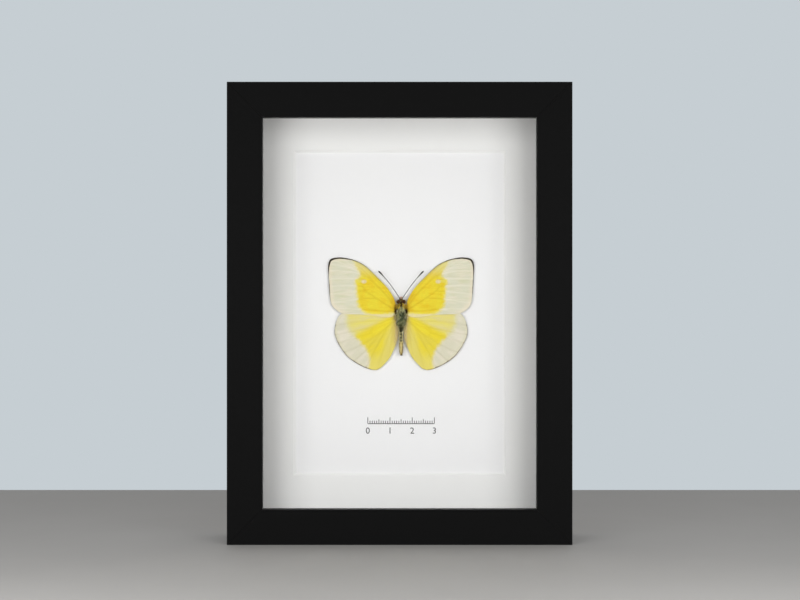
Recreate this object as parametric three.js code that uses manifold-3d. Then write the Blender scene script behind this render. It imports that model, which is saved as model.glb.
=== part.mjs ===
// A black box frame for a 130 x 180 mm picture, holding one spread yellow butterfly.
//
// Millimetres, +Z up. The origin is the middle of the underside, and the front faces -Y.
// From front to back lie the lip of the rails, glass, spacers, window mat, card and back panel.
import * as THREE from 'three';
import { mergeVertices } from 'three/addons/utils/BufferGeometryUtils.js';
import Module from 'manifold-3d';

// Driving dimensions.
const FRAME = { width: 150, height: 201, depth: 35 };
const RAIL = { face: 15.5, wall: 9.6, lip: 4.5, edgeRadius: 0.6 };
const MITRE_GAP = 0.04;
const GLASS = { width: 130, height: 180, thickness: 2 };
const SPACER = { depth: 20, thickness: 1.5 };
const MAT = { thickness: 1, windowWidth: 93.7, windowHeight: 144.3 };
const CARD_THICKNESS = 1;
const PANEL_THICKNESS = 3;
const CLEARANCE = 0.3;
const CUT_PAST = 1;

const CORNER_NAIL = { inset: 4, leg: 8, thickness: 0.5, depth: 9, sunk: 0.25 };
const TAB = { embedded: 5, reach: 11, width: 6, thickness: 0.5, lift: 0.5, tipFlat: 5, rampStart: 1 };
const SIDE_TAB_SPREAD = 52;
const HANGER = { length: 44, height: 9, sheet: 0.75, foot: 8, ramp: 1.5, rise: 1.25, drop: 27.5 };
const TEETH = { count: 9, pitch: 2.5, depth: 1.8, land: 0.2 };
const RIVET = { headRadius: 2.6, headHeight: 0.75, shankRadius: 1.2 };

// The insect, measured from the middle of its body at the frame's mid height.
const INSECT_SHIFT = 0.66;
const WING_SHEET = 0.3;
const FOREWING_FRONT = 7.6;
const HINDWING_FRONT = FOREWING_FRONT + WING_SHEET + CLEARANCE;
const ANTENNA = {
  root: [1.5, 7.4],
  tip: [10.15, 18.7],
  shaft: 0.17,
  club: 0.32,
  clubLength: 2.2,
  clubTaper: 0.9,
  clubEnd: 0.5,
};

// Places worked out from them.
const FRONT = -FRAME.depth / 2;
const BACK = FRAME.depth / 2;
const MIDDLE = FRAME.height / 2;
const GLASS_FRONT = FRONT + RAIL.lip;
const SPACER_FRONT = GLASS_FRONT + GLASS.thickness;
const MAT_FRONT = SPACER_FRONT + SPACER.depth;
const CARD_FRONT = MAT_FRONT + MAT.thickness;
const PANEL_FRONT = CARD_FRONT + CARD_THICKNESS;
const PANEL_BACK = PANEL_FRONT + PANEL_THICKNESS;

// Half of each wing's outline, as distances out from the body's axis and up from its middle.
const FOREWING_COSTA = [[2.5, 3.0], [3.1, 6.3], [6.0, 11.0], [9.7, 15.0], [15.7, 20.8], [20.7, 23.6]];
const FOREWING_APEX = [[25.7, 24.8], [28.8, 24.9], [31.7, 24.1], [32.8, 21.4], [32.7, 17.0]];
const FOREWING_MARGIN = [[32.4, 11.5], [31.9, 6.4], [30.9, 3.2], [28.6, 0.9], [25.3, -0.4]];
const FOREWING_HIND = [[18.2, -0.7], [13.9, -1.1], [9.0, -1.9], [4.6, -1.9], [2.5, -0.6]];
const FOREWING = [...FOREWING_COSTA, ...FOREWING_APEX, ...FOREWING_MARGIN, ...FOREWING_HIND];

const HINDWING_COSTA = [[2.5, -1.2], [5.0, -0.2], [10.5, 0.9], [18.0, 1.3], [25.0, 0.5], [28.1, -1.7]];
const HINDWING_MARGIN = [[29.5, -5.2], [29.9, -8.4], [29.4, -11.2], [27.2, -15.5], [24.5, -19.2]];
const HINDWING_LOBE = [[21.2, -21.9], [16.8, -24.3], [12.6, -25.7], [9.8, -25.1], [7.3, -22.8]];
const HINDWING_INNER = [[4.8, -19.7], [2.7, -15.0], [1.7, -11.6], [1.7, -8.4], [2.3, -6.2], [2.6, -3.6]];
const HINDWING = [...HINDWING_COSTA, ...HINDWING_MARGIN, ...HINDWING_LOBE, ...HINDWING_INNER];

// The body's radius against its height, from the tip of the abdomen to the brow.
const ABDOMEN = [[0.45, -18.4], [0.8, -16.8], [0.95, -14.8], [0.85, -12.2], [0.8, -9.6], [1.0, -7.4]];
const THORAX = [[1.2, -5.7], [1.75, -4.2], [2.1, -2.2], [2.15, 0.2], [2.0, 2.2], [1.5, 3.7]];
const HEAD = [[1.45, 4.2], [1.9, 4.8], [2.0, 5.5], [1.6, 6.4], [0.9, 7.1]];
const BODY_TIP = -19.1;
const BODY_BROW = 7.4;
const BODY_RADIUS = 2.15;

// Sides of the turned pieces.
const RIVET_SIDES = 24;
const BODY_SIDES = 20;
const ANTENNA_SIDES = 8;

function paint(color, roughness, metalness = 0) {
  return new THREE.MeshStandardMaterial({ color, roughness, metalness });
}

const BLACK = paint(0x161616, 0.5);
const STEEL = paint(0xb9bcc0, 0.35, 1);
const CLEAR = paint(0xf4faf8, 0.03);
CLEAR.transparent = true;
CLEAR.opacity = 0.2;
const SPACER_GREY = paint(0x3e3e3d, 0.8);
const MAT_WHITE = paint(0xf5f4f2, 0.9);
const CARD_WHITE = paint(0xf7f7f6, 0.85);
const HARDBOARD = paint(0x8a6b4c, 0.85);
const BODY_GREY = paint(0x5c6350, 0.95);
const FOREWING_YELLOW = paint(0xf0dc4a, 0.8);
const HINDWING_YELLOW = paint(0xeede62, 0.8);
const ANTENNA_BLACK = paint(0x1c1917, 0.6);

const wasm = await Module();
wasm.setup();

function solid(geometry) {
  const bare = geometry.clone();
  bare.deleteAttribute('normal');
  bare.deleteAttribute('uv');
  const merged = mergeVertices(bare);
  const mesh = new wasm.Mesh({
    numProp: 3,
    vertProperties: new Float32Array(merged.attributes.position.array),
    triVerts: new Uint32Array(merged.index.array),
  });
  return new wasm.Manifold(mesh);
}

function surface(manifold) {
  const mesh = manifold.getMesh();
  const geometry = new THREE.BufferGeometry();
  geometry.setAttribute('position', new THREE.BufferAttribute(new Float32Array(mesh.vertProperties), 3));
  geometry.setIndex(new THREE.BufferAttribute(new Uint32Array(mesh.triVerts), 1));
  geometry.computeVertexNormals();
  return geometry;
}

function without(geometry, cutters) {
  return surface(cutters.reduce((left, cutter) => left.subtract(solid(cutter)), solid(geometry)));
}

function block([x0, x1], [y0, y1], [z0, z1]) {
  const geometry = new THREE.BoxGeometry(x1 - x0, y1 - y0, z1 - z0);
  return geometry.translate((x0 + x1) / 2, (y0 + y1) / 2, (z0 + z1) / 2);
}

// An outline in the frame's plane, as seen from the front, made solid from one depth to another.
function plate(outline, front, back, curveSegments = 12) {
  const depth = back - front;
  const geometry = new THREE.ExtrudeGeometry(outline, { depth, bevelEnabled: false, curveSegments });
  return geometry.rotateX(Math.PI / 2).translate(0, back, 0);
}

function turned(profile, segments) {
  const points = profile.map(([radius, along]) => new THREE.Vector2(radius, along));
  return new THREE.LatheGeometry(points, segments);
}

function named(name, geometry, material) {
  const mesh = new THREE.Mesh(geometry, material);
  mesh.name = name;
  return mesh;
}

// Rails. Each is modelled as a bottom rail, and the group that holds it turns it to its side.
const SIDES = [
  { name: 'bottom', length: FRAME.width, turn: 0, tabs: [0] },
  { name: 'right', length: FRAME.height, turn: -Math.PI / 2, tabs: [-SIDE_TAB_SPREAD, SIDE_TAB_SPREAD] },
  { name: 'top', length: FRAME.width, turn: Math.PI, tabs: [0] },
  { name: 'left', length: FRAME.height, turn: Math.PI / 2, tabs: [-SIDE_TAB_SPREAD, SIDE_TAB_SPREAD] },
];

function railSection() {
  const r = RAIL.edgeRadius;
  const section = new THREE.Shape();
  section.absarc(r, FRONT + r, r, Math.PI, 1.5 * Math.PI);
  section.absarc(RAIL.face - r, FRONT + r, r, 1.5 * Math.PI, 2 * Math.PI);
  section.lineTo(RAIL.face, GLASS_FRONT);
  section.lineTo(RAIL.wall, GLASS_FRONT);
  section.lineTo(RAIL.wall, BACK);
  section.absarc(r, BACK - r, r, Math.PI / 2, Math.PI);
  return section;
}

// The section runs from mitre to mitre, so a point further in from the edge starts later and ends sooner.
function mitred(length) {
  const unit = { depth: 1, bevelEnabled: false, curveSegments: 5 };
  const geometry = new THREE.ExtrudeGeometry(railSection(), unit);
  const place = geometry.attributes.position;
  for (let i = 0; i < place.count; i += 1) {
    const inset = place.getX(i);
    const end = place.getZ(i) > 0.5 ? 1 : -1;
    place.setXYZ(i, -end * (length / 2 - inset - MITRE_GAP), place.getY(i), inset);
  }
  return geometry;
}

function nailPocket(length, end) {
  const { inset, leg, thickness, depth } = CORNER_NAIL;
  const near = length / 2 - inset + CLEARANCE;
  const far = length / 2 - inset - leg - CLEARANCE;
  return block(
    end > 0 ? [far, near] : [-near, -far],
    [BACK - depth - CLEARANCE, BACK + CUT_PAST],
    [inset - CLEARANCE, inset + thickness + CLEARANCE],
  );
}

function tabSlot(along) {
  const half = TAB.width / 2 + CLEARANCE;
  return block(
    [along - half, along + half],
    [PANEL_BACK + TAB.lift - CLEARANCE, PANEL_BACK + TAB.lift + TAB.thickness + CLEARANCE],
    [RAIL.wall - TAB.embedded - CLEARANCE, RAIL.wall + CUT_PAST],
  );
}

function rail(side) {
  const cutters = [-1, 1].map((end) => nailPocket(side.length, end));
  cutters.push(...side.tabs.map(tabSlot));
  return named(`rail_${side.name}`, without(mitred(side.length), cutters), BLACK);
}

// A V nail has one leg in each of the two rails that meet at its corner.
function cornerNail() {
  const { inset, leg, thickness, depth, sunk } = CORNER_NAIL;
  const outline = new THREE.Shape([
    new THREE.Vector2(inset, inset),
    new THREE.Vector2(inset + leg, inset),
    new THREE.Vector2(inset + leg, inset + thickness),
    new THREE.Vector2(inset + thickness, inset + thickness),
    new THREE.Vector2(inset + thickness, inset + leg),
    new THREE.Vector2(inset, inset + leg),
  ]);
  return plate(outline, BACK - depth, BACK - sunk);
}

// A flexible point: driven into the rebate's wall, then bent down on the back panel, with a round tip.
function tab() {
  const { embedded, reach, width, thickness, lift, tipFlat, rampStart } = TAB;
  const underside = [[-embedded, lift], [rampStart, lift], [reach - tipFlat, 0], [reach, 0]];
  const upper = underside.map(([along, up]) => [along, up + thickness]).reverse();
  const bend = new THREE.Shape([...underside, ...upper].map(([along, up]) => new THREE.Vector2(along, up)));
  const strip = new THREE.ExtrudeGeometry(bend, { depth: width, bevelEnabled: false });
  strip.translate(0, 0, -width / 2);

  const half = width / 2;
  const plan = new THREE.Shape();
  plan.moveTo(-embedded, -half);
  plan.absarc(reach - half, 0, half, -Math.PI / 2, Math.PI / 2);
  plan.lineTo(-embedded, half);
  const tipShape = plate(plan, -CUT_PAST, lift + thickness + CUT_PAST, 10);
  const bent = surface(solid(strip).intersect(solid(tipShape)));
  return bent.rotateY(-Math.PI / 2).translate(0, PANEL_BACK, 0);
}

// Glass, spacers, mat, card and back panel, flat against each other.
const halfGlass = GLASS.width / 2;
const glassLow = MIDDLE - GLASS.height / 2;
const glassHigh = MIDDLE + GLASS.height / 2;

function sheet(front, back) {
  return block([-halfGlass, halfGlass], [front, back], [glassLow, glassHigh]);
}

function spacers() {
  const depth = [SPACER_FRONT, MAT_FRONT];
  const inner = [glassLow + SPACER.thickness, glassHigh - SPACER.thickness];
  const across = [-halfGlass, halfGlass];
  return [
    named('spacer_bottom', block(across, depth, [glassLow, inner[0]]), SPACER_GREY),
    named('spacer_top', block(across, depth, [inner[1], glassHigh]), SPACER_GREY),
    named('spacer_left', block([-halfGlass, SPACER.thickness - halfGlass], depth, inner), SPACER_GREY),
    named('spacer_right', block([halfGlass - SPACER.thickness, halfGlass], depth, inner), SPACER_GREY),
  ];
}

// The window is cut at 45 degrees, so it narrows towards the back by as much as it goes in.
function windowCutter() {
  const halfWidth = MAT.windowWidth / 2 + MAT.thickness + CUT_PAST;
  const halfHeight = MAT.windowHeight / 2 + MAT.thickness + CUT_PAST;
  const cutter = new THREE.BoxGeometry(1, 1, 1);
  const place = cutter.attributes.position;
  for (let i = 0; i < place.count; i += 1) {
    const inwards = place.getY(i) > 0 ? MAT.thickness + 2 * CUT_PAST : 0;
    const x = Math.sign(place.getX(i)) * (halfWidth - inwards);
    const z = Math.sign(place.getZ(i)) * (halfHeight - inwards);
    place.setXYZ(i, x, MAT_FRONT - CUT_PAST + inwards, MIDDLE + z);
  }
  return cutter;
}

const hangerMiddle = glassHigh - HANGER.drop / 2 - HANGER.height / 2;
const rivetOffset = (HANGER.length - HANGER.foot) / 2;

function rivetHole(x, radius) {
  const hole = new THREE.CylinderGeometry(radius, radius, 4 * PANEL_THICKNESS, RIVET_SIDES);
  return hole.translate(x, PANEL_BACK, hangerMiddle);
}

function backPanel() {
  const holes = [-1, 1].map((side) => rivetHole(side * rivetOffset, RIVET.shankRadius + CLEARANCE));
  return named('back_panel', without(sheet(PANEL_FRONT, PANEL_BACK), holes), HARDBOARD);
}

// The hanger stands off the panel between its feet, and its lower edge is cut into teeth there.
function hangerStrip() {
  const { length, height, sheet: thick, foot, ramp, rise } = HANGER;
  const lower = [
    [-length / 2, 0], [foot - length / 2, 0], [foot + ramp - length / 2, rise],
    [length / 2 - foot - ramp, rise], [length / 2 - foot, 0], [length / 2, 0],
  ];
  const upper = lower.map(([x, y]) => [x, y + thick]).reverse();
  const bridge = new THREE.Shape([...lower, ...upper].map(([x, y]) => new THREE.Vector2(x, y)));
  const strip = new THREE.ExtrudeGeometry(bridge, { depth: height, bevelEnabled: false });
  return strip.translate(0, PANEL_BACK, hangerMiddle - height / 2);
}

function tooth(index) {
  const x = (index - (TEETH.count - 1) / 2) * TEETH.pitch;
  const bottom = hangerMiddle - HANGER.height / 2;
  const half = (TEETH.pitch - TEETH.land) / 2;
  const notch = new THREE.Shape([
    new THREE.Vector2(x - half, bottom - CUT_PAST),
    new THREE.Vector2(x + half, bottom - CUT_PAST),
    new THREE.Vector2(x, bottom + TEETH.depth),
  ]);
  return plate(notch, PANEL_BACK - CUT_PAST, BACK + CUT_PAST);
}

function hanger() {
  const cutters = [-1, 1].map((side) => rivetHole(side * rivetOffset, RIVET.shankRadius + CLEARANCE));
  for (let i = 0; i < TEETH.count; i += 1) cutters.push(tooth(i));
  return named('hanger', without(hangerStrip(), cutters), STEEL);
}

function rivet(side) {
  const { headRadius, headHeight, shankRadius } = RIVET;
  const shank = HANGER.sheet + PANEL_THICKNESS - CLEARANCE;
  const profile = [[0, -shank], [shankRadius, -shank], [shankRadius, 0], [headRadius, 0]];
  for (let i = 1; i < 6; i += 1) {
    const angle = (i / 6) * (Math.PI / 2);
    profile.push([headRadius * Math.cos(angle), headHeight * Math.sin(angle)]);
  }
  profile.push([0, headHeight]);
  const mesh = named(`hanger_rivet_${side < 0 ? 'left' : 'right'}`, turned(profile, RIVET_SIDES), STEEL);
  mesh.position.set(side * rivetOffset, PANEL_BACK + HANGER.sheet, hangerMiddle);
  return mesh;
}

// The insect.
function wingOutline(points, side) {
  const corners = points.map(([out, up]) => new THREE.Vector2(side * out, up));
  const outline = new THREE.Shape();
  outline.moveTo(corners[0].x, corners[0].y);
  outline.splineThru(corners.slice(1));
  return outline;
}

function wing(name, points, side, front) {
  const geometry = plate(wingOutline(points, side), front, front + WING_SHEET, 3);
  return named(name, geometry, name.startsWith('fore') ? FOREWING_YELLOW : HINDWING_YELLOW);
}

function body() {
  const knots = [...ABDOMEN, ...THORAX, ...HEAD].map(([radius, up]) => new THREE.Vector2(radius, up));
  const flank = new THREE.SplineCurve(knots).getPoints(3 * knots.length).map((p) => [p.x, p.y]);
  const profile = [[0, BODY_TIP], ...flank, [0, BODY_BROW]];
  const mesh = named('butterfly_body', turned(profile, BODY_SIDES).rotateX(Math.PI / 2), BODY_GREY);
  mesh.position.y = CARD_FRONT - CLEARANCE - BODY_RADIUS;
  return mesh;
}

function antenna(name, side) {
  const { root, tip, shaft, club, clubLength, clubTaper, clubEnd } = ANTENNA;
  const rise = [tip[0] - root[0], tip[1] - root[1]];
  const length = Math.hypot(...rise);
  const neck = length - clubLength;
  const thread = [[0, 0], [shaft, 0], [shaft, neck]];
  const tipEnd = [[club, neck + clubTaper], [club, length - clubEnd], [0, length]];
  const geometry = turned([...thread, ...tipEnd], ANTENNA_SIDES).rotateX(Math.PI / 2);
  const mesh = named(name, geometry, ANTENNA_BLACK);
  mesh.rotation.y = side * Math.atan2(rise[0], rise[1]);
  mesh.position.set(side * root[0], FOREWING_FRONT, root[1]);
  return mesh;
}

function insect() {
  const group = new THREE.Group();
  group.position.set(INSECT_SHIFT, 0, MIDDLE);
  group.add(body());
  for (const [name, side] of [['left', -1], ['right', 1]]) {
    group.add(wing(`forewing_${name}`, FOREWING, side, FOREWING_FRONT));
    group.add(wing(`hindwing_${name}`, HINDWING, side, HINDWING_FRONT));
    group.add(antenna(`antenna_${name}`, side));
  }
  return group;
}

// Each side is turned about the middle of the frame, so that its rail and tabs face inwards.
function sideOf(side, firstTab) {
  const flat = new THREE.Group();
  const across = side.length === FRAME.width ? FRAME.height : FRAME.width;
  flat.position.z = -across / 2;
  flat.add(rail(side));
  side.tabs.forEach((along, i) => {
    const point = named(`back_tab_${firstTab + i}`, tab(), STEEL);
    point.position.set(along, 0, RAIL.wall);
    flat.add(point);
  });
  const group = new THREE.Group();
  group.rotation.y = side.turn;
  group.position.z = MIDDLE;
  return group.add(flat);
}

function cornerNails() {
  const corners = [[-1, 0], [1, 0], [1, 1], [-1, 1]];
  return corners.map(([side, top], i) => {
    const mesh = named(`corner_nail_${i + 1}`, cornerNail(), STEEL);
    mesh.position.set((side * FRAME.width) / 2, 0, top * FRAME.height);
    mesh.rotation.y = -i * (Math.PI / 2);
    return mesh;
  });
}

const model = new THREE.Group();
SIDES.forEach((side, i) => {
  const tabsBefore = SIDES.slice(0, i).reduce((sum, earlier) => sum + earlier.tabs.length, 0);
  model.add(sideOf(side, tabsBefore + 1));
});
model.add(...cornerNails());
model.add(named('glass_pane', sheet(GLASS_FRONT, SPACER_FRONT), CLEAR));
model.add(...spacers());
model.add(named('window_mat', without(sheet(MAT_FRONT, CARD_FRONT), [windowCutter()]), MAT_WHITE));
model.add(named('backing_card', sheet(CARD_FRONT, PANEL_FRONT), CARD_WHITE));
model.add(backPanel(), hanger(), rivet(-1), rivet(1));
model.add(insect());

export default model;
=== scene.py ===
"""The looks of a framed butterfly: a black box frame, a bevelled white mat and a spread yellow insect.

Insect shapes are in millimetres in the insect's own plane: out from the body's axis, and up from its
middle. A place in Blender is in metres, in the frame of the CAD model.
"""

import math

import bpy
import numpy as np
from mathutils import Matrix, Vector
from mathutils.geometry import delaunay_2d_cdt


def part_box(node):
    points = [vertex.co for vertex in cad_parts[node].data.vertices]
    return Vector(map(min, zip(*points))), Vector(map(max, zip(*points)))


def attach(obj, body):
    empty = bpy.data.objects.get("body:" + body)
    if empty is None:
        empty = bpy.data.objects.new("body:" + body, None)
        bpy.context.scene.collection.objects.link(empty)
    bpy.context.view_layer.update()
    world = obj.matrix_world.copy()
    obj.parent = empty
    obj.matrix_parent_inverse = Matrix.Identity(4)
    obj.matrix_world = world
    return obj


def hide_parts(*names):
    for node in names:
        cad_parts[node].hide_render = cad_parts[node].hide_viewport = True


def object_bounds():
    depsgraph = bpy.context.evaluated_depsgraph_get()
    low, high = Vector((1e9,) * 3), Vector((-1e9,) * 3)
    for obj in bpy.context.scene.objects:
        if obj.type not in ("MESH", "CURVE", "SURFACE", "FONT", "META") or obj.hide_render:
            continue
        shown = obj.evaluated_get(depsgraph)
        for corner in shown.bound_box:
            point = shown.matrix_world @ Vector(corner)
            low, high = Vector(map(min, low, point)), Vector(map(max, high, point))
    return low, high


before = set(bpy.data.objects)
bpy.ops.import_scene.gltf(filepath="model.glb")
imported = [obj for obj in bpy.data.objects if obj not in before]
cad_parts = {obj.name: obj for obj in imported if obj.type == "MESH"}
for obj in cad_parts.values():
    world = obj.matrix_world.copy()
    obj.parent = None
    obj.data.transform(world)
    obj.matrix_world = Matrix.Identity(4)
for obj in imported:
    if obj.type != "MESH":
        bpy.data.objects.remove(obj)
CAD_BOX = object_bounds()
MM = 0.001

# ---- places taken from the frame

LOW, HIGH = [np.array(corner) for corner in CAD_BOX]
MIDDLE_Z = (LOW[2] + HIGH[2]) / 2
CARD_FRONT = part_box("backing_card")[0][1]
MAT_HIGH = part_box("window_mat")[1]
LEFT_WING, RIGHT_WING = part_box("forewing_left"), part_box("forewing_right")
AXIS_X = (LEFT_WING[0][0] + RIGHT_WING[1][0]) / 2
FOREWING_Y = RIGHT_WING[0][1]
HINDWING_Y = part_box("hindwing_right")[0][1]
BODY_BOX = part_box("butterfly_body")
BODY_Y = (BODY_BOX[0][1] + BODY_BOX[1][1]) / 2


# ---- node trees

def srgb(code):
    """A colour written as in a paint chart, such as "e8d432", as linear light."""
    parts = [int(code[i:i + 2], 16) / 255 for i in (0, 2, 4)]
    return [c / 12.92 if c <= 0.04045 else ((c + 0.055) / 1.055) ** 2.4 for c in parts] + [1.0]


class Paint:
    """A material's node tree, built in small steps that each hand back a socket."""

    def __init__(self, name, roughness=0.7, specular=0.2, shader="BsdfPrincipled"):
        self.material = bpy.data.materials.new(name)
        self.material.use_nodes = True
        self.tree = self.material.node_tree
        self.tree.nodes.clear()
        self.shader = self.node(shader)
        if shader == "BsdfPrincipled":
            self.fill(self.shader, {"Roughness": roughness, "Specular IOR Level": specular})
        self.output = self.node("OutputMaterial")
        self.tree.links.new(self.shader.outputs[0], self.output.inputs["Surface"])

    def node(self, kind, **settings):
        node = self.tree.nodes.new("ShaderNode" + kind)
        for name, value in settings.items():
            setattr(node, name, value)
        return node

    def feed(self, socket, value):
        if isinstance(value, bpy.types.NodeSocket):
            self.tree.links.new(value, socket)
        elif isinstance(value, str):
            socket.default_value = srgb(value)
        else:
            socket.default_value = value

    def fill(self, node, values):
        """Sets or feeds a node's inputs, by name or number."""
        for key, value in values.items():
            self.feed(node.inputs[key], value)

    def set(self, **inputs):
        self.fill(self.shader, {name.replace("_", " "): value for name, value in inputs.items()})

    def attribute(self, name, output="Fac"):
        return self.node("Attribute", attribute_name=name).outputs[output]

    def place(self):
        """Where the point is, in millimetres in the frame of the whole part."""
        where = self.node("TexCoord").outputs["Object"]
        return self.scaled(where, (1 / MM, 1 / MM, 1 / MM))

    def scaled(self, vector, by):
        scale = self.node("VectorMath", operation="MULTIPLY")
        self.fill(scale, {0: vector, 1: by})
        return scale.outputs[0]

    def apart(self, vector):
        split = self.node("SeparateXYZ")
        self.fill(split, {0: vector})
        return split.outputs

    def together(self, x, y, z=0.0):
        join = self.node("CombineXYZ")
        self.fill(join, {0: x, 1: y, 2: z})
        return join.outputs[0]

    def math(self, operation, *values):
        node = self.node("Math", operation=operation)
        self.fill(node, dict(enumerate(values)))
        return node.outputs[0]

    def plus(self, *values):
        return self.math("ADD", *values)

    def minus(self, *values):
        return self.math("SUBTRACT", *values)

    def times(self, *values):
        return self.math("MULTIPLY", *values)

    def step(self, value, low, high):
        """0 at low and before it, 1 at high and past it, smooth between; low may be the larger."""
        ramp = self.node("MapRange", interpolation_type="SMOOTHSTEP")
        start, end = sorted((low, high))
        rising = float(low < high)
        self.fill(ramp, {"Value": value, "From Min": start, "From Max": end})
        self.fill(ramp, {"To Min": 1.0 - rising, "To Max": rising})
        return ramp.outputs["Result"]

    def noise(self, vector, scale, detail=3.0, stretch=(1, 1, 1), roughness=0.55):
        node = self.node("TexNoise")
        self.fill(node, {"Vector": self.scaled(vector, stretch), "Scale": scale})
        self.fill(node, {"Detail": detail, "Roughness": roughness})
        return node.outputs["Fac"]

    def mix(self, share, low, high):
        node = self.node("Mix", data_type="RGBA")
        self.fill(node, {"Factor": share, 6: low, 7: high})
        return node.outputs[2]

    def bump(self, height, distance, strength=1.0):
        node = self.node("Bump")
        self.fill(node, {"Height": height, "Distance": distance, "Strength": strength})
        self.set(Normal=node.outputs[0])


# ---- meshes

# Keeps a step of no length from dividing by zero.
NO_LENGTH = 1e-12
SIDES = {"left": -1, "right": 1}
BOX_FACES = [(0, 1, 2, 3), (7, 6, 5, 4), (0, 4, 5, 1), (1, 5, 6, 2), (2, 6, 7, 3), (3, 7, 4, 0)]


def catmull(points, per_span):
    """A smooth curve through rows of numbers, as many steps as per_span between each two rows."""
    rows = np.array(points, float)
    padded = np.vstack([rows[:1], rows, rows[-1:]])
    t = (np.arange(per_span) / per_span)[:, None]
    spans = []
    for a, b, c, d in zip(padded, padded[1:], padded[2:], padded[3:]):
        leave, arrive = (c - a) / 2, (d - b) / 2
        cubic = (2 * b - 2 * c + leave + arrive) * t ** 3
        spans.append(cubic + (3 * c - 3 * b - 2 * leave - arrive) * t ** 2 + leave * t + b)
    return np.vstack(spans + [rows[-1:]])


def even(curve, pitch):
    """The same curve with its rows about pitch apart, counted along the first two columns."""
    gaps = np.hypot(*np.diff(curve[:, :2], axis=0).T)
    along = np.concatenate([[0], np.cumsum(gaps)])
    wanted = np.linspace(0, along[-1], max(2, int(round(along[-1] / pitch)) + 1))
    return np.stack([np.interp(wanted, along, column) for column in curve.T], axis=1)


def nearest(points, line):
    """For each point, how far the polyline is, and the line's row there as a fraction of an index."""
    starts, ends = line[:-1, :2], line[1:, :2]
    along = ends - starts
    length2 = np.maximum((along ** 2).sum(1), NO_LENGTH)
    best = np.full(len(points), np.inf)
    row = np.zeros(len(points))
    for i, (start, step, size) in enumerate(zip(starts, along, length2)):
        t = np.clip(((points - start) @ step) / size, 0, 1)
        gap = np.hypot(*(points - start - t[:, None] * step).T)
        closer = gap < best
        best[closer] = gap[closer]
        row[closer] = i + t[closer]
    return best, row


def inside(points, ring):
    """Whether each point lies in the closed outline, by counting crossings."""
    found = np.zeros(len(points), bool)
    x, y = points[:, 0], points[:, 1]
    for (ax, ay), (bx, by) in zip(ring, np.roll(ring, -1, axis=0)):
        if ay == by:
            continue
        crosses = (ay > y) != (by > y)
        found ^= crosses & (x < (bx - ax) * (y - ay) / (by - ay) + ax)
    return found


def field(points, border, corners):
    """Distance in from a border line, negative outside the region that the border and corners close."""
    gap, _ = nearest(points, border)
    return np.where(inside(points, np.vstack([border[:, :2], corners])), gap, -gap)


def add_object(name, data):
    thing = bpy.data.objects.new(name, data)
    bpy.context.collection.objects.link(thing)
    return thing


def mesh_piece(name, points, faces, paints, attributes=None, smooth=True):
    mesh = bpy.data.meshes.new(name)
    mesh.from_pydata([tuple(p) for p in points], [], [tuple(f) for f in faces])
    for key, values in (attributes or {}).items():
        values = np.asarray(values, np.float32)
        kind, slot = ("FLOAT", "value") if values.ndim == 1 else ("FLOAT_VECTOR", "vector")
        mesh.attributes.new(key, kind, "POINT").data.foreach_set(slot, values.ravel())
    mesh.update()
    if smooth:
        mesh.shade_smooth()
    piece = add_object(name, mesh)
    for paint in paints:
        mesh.materials.append(paint.material)
    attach(piece, "root")
    return piece


def paint_nodes(paint, *starts):
    """Paints each CAD node whose name starts like this."""
    for name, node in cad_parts.items():
        if name.startswith(starts):
            for slot in node.material_slots:
                slot.material = paint.material


# ---- wings

# Outlines from the shoulder out and round to the root: out, up, and the width of the dark border there.
FOREWING = [
    (2.5, 3.0, 0), (3.1, 6.3, 0), (6.0, 11.0, 0), (9.7, 15.0, 0.08), (15.7, 20.8, 0.25),
    (20.7, 23.6, 0.38), (25.7, 24.8, 0.68), (28.8, 24.9, 0.8), (31.7, 24.1, 0.94), (32.8, 21.4, 0.76),
    (32.7, 17.0, 0.36), (32.4, 11.5, 0.4), (31.9, 6.4, 0.2), (30.9, 3.2, 0), (28.6, 0.9, 0),
    (25.3, -0.4, 0), (18.2, -0.7, 0), (13.9, -1.1, 0), (9.0, -1.9, 0), (4.6, -1.9, 0), (2.5, -0.6, 0),
]
HINDWING = [
    (2.5, -1.2, 0), (5.0, -0.2, 0), (10.5, 0.9, 0), (18.0, 1.3, 0), (25.0, 0.5, 0), (28.1, -1.7, 0),
    (29.5, -5.2, 0.2), (29.9, -8.4, 0.26), (29.4, -11.2, 0.26), (27.2, -15.5, 0.3), (24.5, -19.2, 0.34),
    (21.2, -21.9, 0.38), (16.8, -24.3, 0.34), (12.6, -25.7, 0.3), (9.8, -25.1, 0.1), (7.3, -22.8, 0),
    (4.8, -19.7, 0), (2.7, -15.0, 0), (1.6, -11.6, 0), (1.2, -8.4, 0), (1.5, -6.2, 0), (1.9, -3.6, 0),
]
# Where the wing goes on under the down of the thorax.
FOREWING_ROOT = [(1.2, 0.2), (1.2, 2.4)]
HINDWING_ROOT = [(1.2, -3.6), (1.2, -1.6)]

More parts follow.
